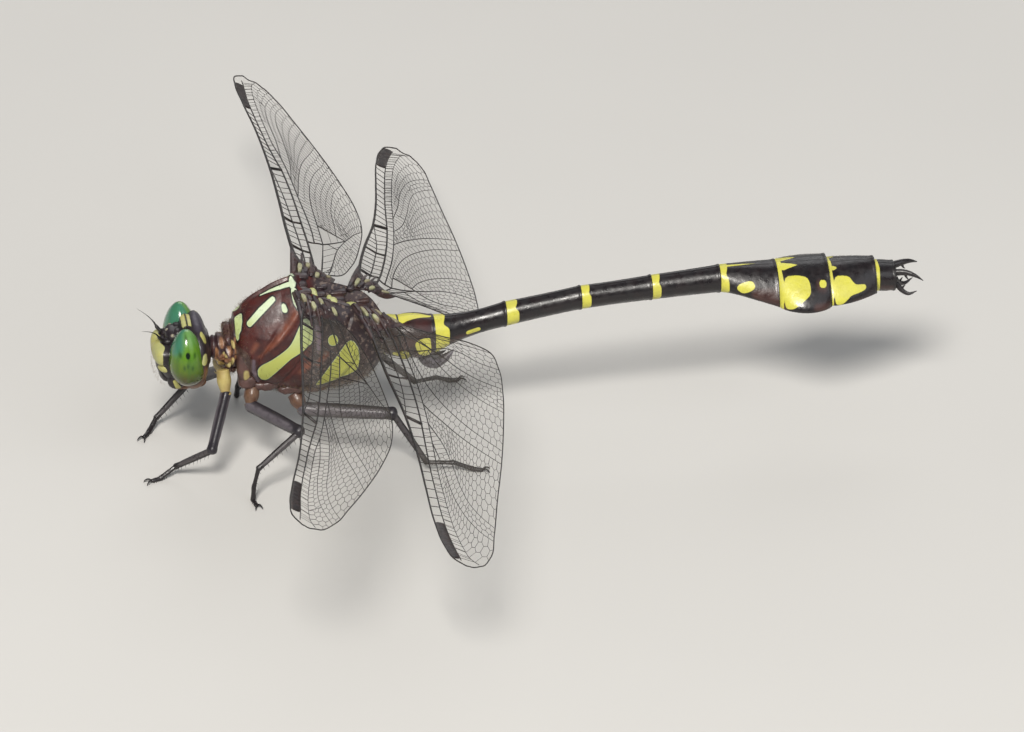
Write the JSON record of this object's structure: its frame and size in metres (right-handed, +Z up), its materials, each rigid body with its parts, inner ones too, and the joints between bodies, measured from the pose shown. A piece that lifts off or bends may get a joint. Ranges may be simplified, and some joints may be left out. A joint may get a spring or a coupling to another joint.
{
  "type": "dragonfly",
  "caption": "Life-size still model of a large ringed dragonfly, standing on its feet with its wings spread and its tail held level.",
  "frame": {"origin": "on the floor, under the middle of the model's bounding box", "axes": "+X back along the body from head to tail, +Y to the insect's right, +Z up"},
  "size_m": [0.0678, 0.085, 0.0187],
  "materials": {
    "head_shell": "satin black and cream-yellow shell plates",
    "eye": "glossy, blue-green above and yellow-green below, with a fine grid of facets",
    "thorax_shell": "satin maroon with mint and yellow-green stripes",
    "abdomen_shell": "glossy black with yellow rings and patches",
    "black_shell": "satin black",
    "grey_shell": "grey bloom over dark shell",
    "brown_shell": "yellow-brown shell",
    "wing_film": "clear film with a net of dark veins"
  },
  "bodies": {
    "root": {"abdomen_01": "abdomen_shell", "abdomen_02": "abdomen_shell", "abdomen_03": "abdomen_shell", "abdomen_04": "abdomen_shell", "abdomen_05": "abdomen_shell", "abdomen_06": "abdomen_shell", "abdomen_07": "abdomen_shell", "abdomen_08": "abdomen_shell", "abdomen_09": "abdomen_shell", "abdomen_10": "abdomen_shell", "antenna_left": "black_shell", "antenna_right": "black_shell", "cercus_left": "black_shell", "cercus_right": "black_shell", "epiproct": "black_shell", "eye_left": "eye", "eye_right": "eye", "hamules": "grey_shell", "head": "head_shell", "leg_fore_left_coxa": "brown_shell", "leg_fore_left_femur": "grey_shell", "leg_fore_left_tarsus": "black_shell", "leg_fore_left_tibia": "black_shell", "leg_fore_right_coxa": "brown_shell", "leg_fore_right_femur": "grey_shell", "leg_fore_right_tarsus": "black_shell", "leg_fore_right_tibia": "black_shell", "leg_hind_left_coxa": "brown_shell", "leg_hind_left_femur": "grey_shell", "leg_hind_left_tarsus": "black_shell", "leg_hind_left_tibia": "black_shell", "leg_hind_right_coxa": "brown_shell", "leg_hind_right_femur": "grey_shell", "leg_hind_right_tarsus": "black_shell", "leg_hind_right_tibia": "black_shell", "leg_mid_left_coxa": "brown_shell", "leg_mid_left_femur": "grey_shell", "leg_mid_left_tarsus": "black_shell", "leg_mid_left_tibia": "black_shell", "leg_mid_right_coxa": "brown_shell", "leg_mid_right_femur": "grey_shell", "leg_mid_right_tarsus": "black_shell", "leg_mid_right_tibia": "black_shell", "prothorax": "thorax_shell", "thorax": "thorax_shell", "wing_fore_left": "wing_film", "wing_fore_right": "wing_film", "wing_hind_left": "wing_film", "wing_hind_right": "wing_film"}
  },
  "joints": []
}
